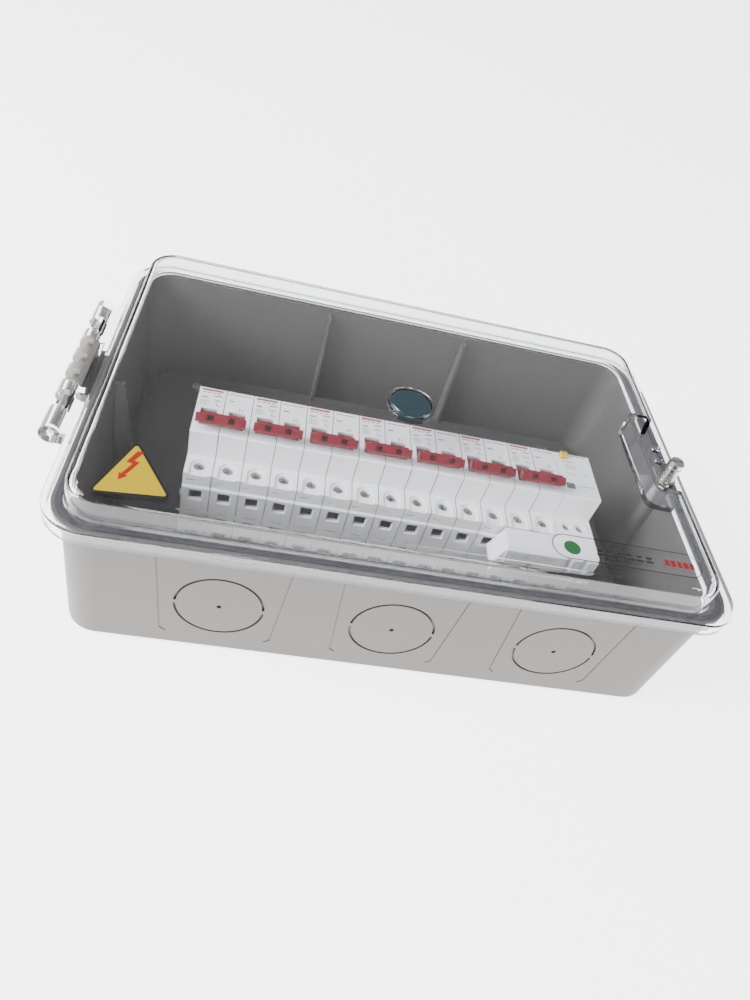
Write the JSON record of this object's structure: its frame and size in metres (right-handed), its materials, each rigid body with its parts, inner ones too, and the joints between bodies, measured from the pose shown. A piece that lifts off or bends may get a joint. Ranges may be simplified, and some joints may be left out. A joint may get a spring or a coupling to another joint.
{
  "type": "modular distribution box",
  "caption": "Grey plastic distribution box with a clear hinged lid over a rail of two-pole circuit breakers with red tie-bar handles and a residual-current add-on.",
  "frame": {"origin": "centre of the back face that lies against the wall", "axes": "+X along the long side toward the lock, +Y toward the far long side (the side without knock-outs), +Z out of the wall toward the lid"},
  "size_m": [0.4228, 0.2757, 0.1205],
  "materials": {
    "base_grey": "fine moulded texture",
    "clear_lid": "clear polished polycarbonate",
    "gasket_rubber": "matt",
    "insert_brass": "machined",
    "plate_grey": "smooth moulded",
    "zinc_steel": "zinc plated",
    "copper": "bare copper",
    "breaker_white": "satin moulded",
    "clip_black": "moulded",
    "hinge_steel": "drawn",
    "badge_teal": "glossy domed resin",
    "lock_nickel": "turned nickel plate",
    "handle_red": "satin moulded",
    "button_yellow": "moulded",
    "button_grey": "moulded",
    "board_green": "lacquered laminate",
    "core_dark": "coated iron ring"
  },
  "bodies": {
    "base": {"arc_chute_plates": "zinc_steel", "arm_pivots": "zinc_steel", "base_shell": "base_grey", "bimetal_strips": "zinc_steel", "breaker_1_poles": "breaker_white", "breaker_2_poles": "breaker_white", "breaker_3_poles": "breaker_white", "breaker_4_poles": "breaker_white", "breaker_5_poles": "breaker_white", "breaker_6_poles": "breaker_white", "breaker_7_poles": "breaker_white", "coil_cores": "zinc_steel", "din_rail": "zinc_steel", "fixed_contacts": "copper", "handle_pivots": "zinc_steel", "hinge_pin": "hinge_steel", "lid_gasket": "gasket_rubber", "lock_insert": "insert_brass", "mounting_plate": "plate_grey", "plate_screws": "zinc_steel", "pole_rivets": "zinc_steel", "pressure_plates": "zinc_steel", "rail_clips": "clip_black", "rail_screws": "zinc_steel", "rcd_circuit_board": "board_green", "rcd_cover_screw": "zinc_steel", "rcd_housing": "breaker_white", "rcd_rail_clip": "clip_black", "rcd_screws": "zinc_steel", "rcd_sensing_ring": "core_dark", "terminal_cages": "zinc_steel", "terminal_screws": "zinc_steel", "trip_coils": "copper"},
    "handle_1": {"breaker_1_handle": "handle_red"},
    "contacts_1": {"breaker_1_contact_arms": "copper"},
    "handle_2": {"breaker_2_handle": "handle_red"},
    "contacts_2": {"breaker_2_contact_arms": "copper"},
    "handle_3": {"breaker_3_handle": "handle_red"},
    "contacts_3": {"breaker_3_contact_arms": "copper"},
    "handle_4": {"breaker_4_handle": "handle_red"},
    "contacts_4": {"breaker_4_contact_arms": "copper"},
    "handle_5": {"breaker_5_handle": "handle_red"},
    "contacts_5": {"breaker_5_contact_arms": "copper"},
    "handle_6": {"breaker_6_handle": "handle_red"},
    "contacts_6": {"breaker_6_contact_arms": "copper"},
    "handle_7": {"breaker_7_handle": "handle_red"},
    "contacts_7": {"breaker_7_contact_arms": "copper"},
    "lid": {"lid": "clear_lid", "lid_badge": "badge_teal", "lock_washer": "lock_nickel"},
    "lock": {"lock_screw": "lock_nickel"},
    "test_button": {"rcd_test_button": "button_yellow"},
    "reset_button": {"rcd_reset_button": "button_grey"}
  },
  "joints": [
    {"name": "breaker_1_handle_turn", "type": "hinge", "parent": "base", "child": "handle_1", "pos_m": [-0.1215, -0.0161, 0.082], "axis": [-1, 0, 0], "range_deg": [0, 60]},
    {"name": "breaker_1_contact_rock", "type": "hinge", "parent": "base", "child": "contacts_1", "pos_m": [-0.1215, -0.0065, 0.058], "axis": [1, 0, 0], "range_deg": [0, 15.8]},
    {"name": "breaker_2_handle_turn", "type": "hinge", "parent": "base", "child": "handle_2", "pos_m": [-0.0855, -0.0161, 0.082], "axis": [-1, 0, 0], "range_deg": [0, 60]},
    {"name": "breaker_2_contact_rock", "type": "hinge", "parent": "base", "child": "contacts_2", "pos_m": [-0.0855, -0.0065, 0.058], "axis": [1, 0, 0], "range_deg": [0, 15.8]},
    {"name": "breaker_3_handle_turn", "type": "hinge", "parent": "base", "child": "handle_3", "pos_m": [-0.0495, -0.0161, 0.082], "axis": [-1, 0, 0], "range_deg": [0, 60]},
    {"name": "breaker_3_contact_rock", "type": "hinge", "parent": "base", "child": "contacts_3", "pos_m": [-0.0495, -0.0065, 0.058], "axis": [1, 0, 0], "range_deg": [0, 15.8]},
    {"name": "breaker_4_handle_turn", "type": "hinge", "parent": "base", "child": "handle_4", "pos_m": [-0.0135, -0.0161, 0.082], "axis": [-1, 0, 0], "range_deg": [0, 60]},
    {"name": "breaker_4_contact_rock", "type": "hinge", "parent": "base", "child": "contacts_4", "pos_m": [-0.0135, -0.0065, 0.058], "axis": [1, 0, 0], "range_deg": [0, 15.8]},
    {"name": "breaker_5_handle_turn", "type": "hinge", "parent": "base", "child": "handle_5", "pos_m": [0.0225, -0.0161, 0.082], "axis": [-1, 0, 0], "range_deg": [0, 60]},
    {"name": "breaker_5_contact_rock", "type": "hinge", "parent": "base", "child": "contacts_5", "pos_m": [0.0225, -0.0065, 0.058], "axis": [1, 0, 0], "range_deg": [0, 15.8]},
    {"name": "breaker_6_handle_turn", "type": "hinge", "parent": "base", "child": "handle_6", "pos_m": [0.0585, -0.0161, 0.082], "axis": [-1, 0, 0], "range_deg": [0, 60]},
    {"name": "breaker_6_contact_rock", "type": "hinge", "parent": "base", "child": "contacts_6", "pos_m": [0.0585, -0.0065, 0.058], "axis": [1, 0, 0], "range_deg": [0, 15.8]},
    {"name": "breaker_7_handle_turn", "type": "hinge", "parent": "base", "child": "handle_7", "pos_m": [0.0945, -0.0161, 0.082], "axis": [-1, 0, 0], "range_deg": [0, 60]},
    {"name": "breaker_7_contact_rock", "type": "hinge", "parent": "base", "child": "contacts_7", "pos_m": [0.0945, -0.0065, 0.058], "axis": [1, 0, 0], "range_deg": [0, 15.8]},
    {"name": "lid_hinge", "type": "hinge", "parent": "base", "child": "lid", "pos_m": [-0.2125, 0, 0.0995], "axis": [0, -1, 0], "range_deg": [0, 110]},
    {"name": "lock_screw_turn", "type": "hinge", "parent": "lid", "child": "lock", "pos_m": [0.189, -0.0105, 0.112], "axis": [0, 0, 1], "continuous": true},
    {"name": "test_button_press", "type": "slide", "parent": "base", "child": "test_button", "axis": [0, 0, -1], "range_m": [0, 0.002], "stiffness_N_per_m": 300},
    {"name": "reset_button_press", "type": "slide", "parent": "base", "child": "reset_button", "axis": [0, 0, -1], "range_m": [0, 0.0012], "stiffness_N_per_m": 300}
  ],
  "couplings": [
    {"joint": "breaker_1_contact_rock", "follows": "breaker_1_handle_turn", "ratio": 0.26333},
    {"joint": "breaker_2_contact_rock", "follows": "breaker_2_handle_turn", "ratio": 0.26333},
    {"joint": "breaker_3_contact_rock", "follows": "breaker_3_handle_turn", "ratio": 0.26333},
    {"joint": "breaker_4_contact_rock", "follows": "breaker_4_handle_turn", "ratio": 0.26333},
    {"joint": "breaker_5_contact_rock", "follows": "breaker_5_handle_turn", "ratio": 0.26333},
    {"joint": "breaker_6_contact_rock", "follows": "breaker_6_handle_turn", "ratio": 0.26333},
    {"joint": "breaker_7_contact_rock", "follows": "breaker_7_handle_turn", "ratio": 0.26333}
  ]
}
